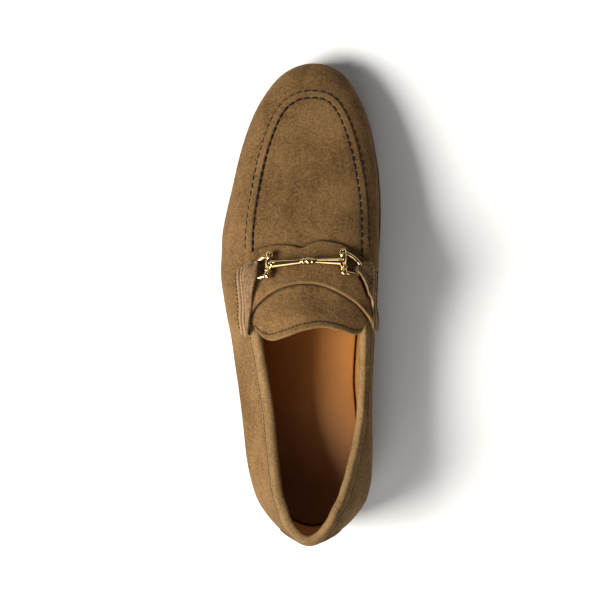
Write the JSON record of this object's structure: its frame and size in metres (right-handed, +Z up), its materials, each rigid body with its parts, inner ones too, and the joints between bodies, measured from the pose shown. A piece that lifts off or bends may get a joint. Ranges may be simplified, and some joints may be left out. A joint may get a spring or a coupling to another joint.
{
  "type": "bit loafer",
  "caption": "Left suede bit loafer: hollow moccasin-toe upper, leather sole and stacked heel, saddle strap with a pale gold bar and D-rings",
  "frame": {"origin": "on the floor under the middle of the shoe's bounding box", "axes": "+Y heel to toe, +X to the inner side of the foot, +Z up"},
  "size_m": [0.0996, 0.2968, 0.0906],
  "materials": {
    "suede": "brown suede with a soft nap",
    "suede_edge": "brown suede, rubbed paler at the fold",
    "suede_tab": "brown suede, stitched in rows",
    "insole_leather": "smooth tan leather",
    "sole_leather": "stained sole leather",
    "heel_leather": "stacked leather, waxed dark",
    "heel_rubber": "matt black rubber",
    "pale_gold": "polished pale gold plating"
  },
  "bodies": {
    "root": {"upper": "suede", "tongue": "suede", "saddle": "suede", "backstay": "suede", "collar_band": "suede_edge", "side_tab_lateral": "suede_tab", "side_tab_medial": "suede_tab", "insole": "insole_leather", "outsole": "sole_leather", "heel_stack": "heel_leather", "heel_top_piece": "heel_rubber", "bit_ring_lateral": "pale_gold", "bit_ring_medial": "pale_gold", "bit_bar_lateral": "pale_gold", "bit_bar_medial": "pale_gold"}
  },
  "joints": []
}
